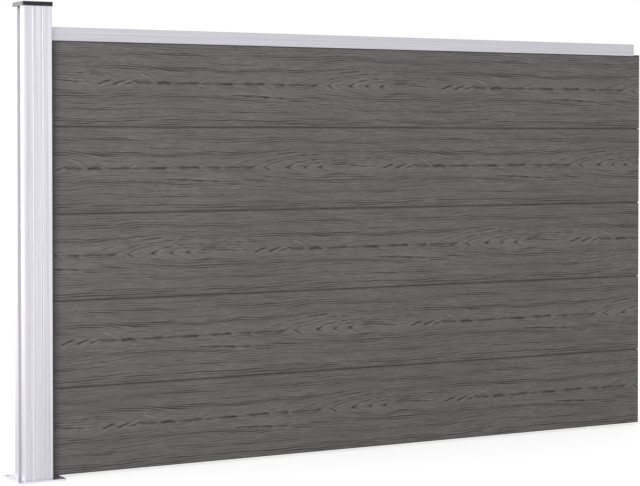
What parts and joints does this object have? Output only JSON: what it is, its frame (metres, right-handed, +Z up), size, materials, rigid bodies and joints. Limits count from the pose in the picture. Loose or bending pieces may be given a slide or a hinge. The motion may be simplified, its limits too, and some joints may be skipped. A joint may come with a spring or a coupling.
{
  "type": "composite fence panel",
  "caption": "Garden fence panel of tongue-and-groove composite boards with embossed wood grain, a metal top rail and a slotted aluminium end post on a base plate.",
  "frame": {"origin": "centre of the base plate's underside, on the post's axis", "axes": "+X along the panel from the post to its free end, +Y to the back, +Z up along the post"},
  "size_m": [1.788, 0.116, 1.088],
  "materials": {
    "composite": "matte grey wood-plastic composite with embossed cathedral grain",
    "aluminium": "satin silver anodised extrusion",
    "cap_plastic": "satin black moulding",
    "screw_steel": "plain zinc-plated steel"
  },
  "bodies": {
    "root": {"board_1": "composite", "board_2": "composite", "board_3": "composite", "board_4": "composite", "board_5": "composite", "base_plate": "aluminium", "post": "aluminium", "slot_cover_front": "aluminium", "slot_cover_back": "aluminium", "top_rail": "aluminium", "post_cap": "cap_plastic", "base_screws": "screw_steel"}
  },
  "joints": []
}
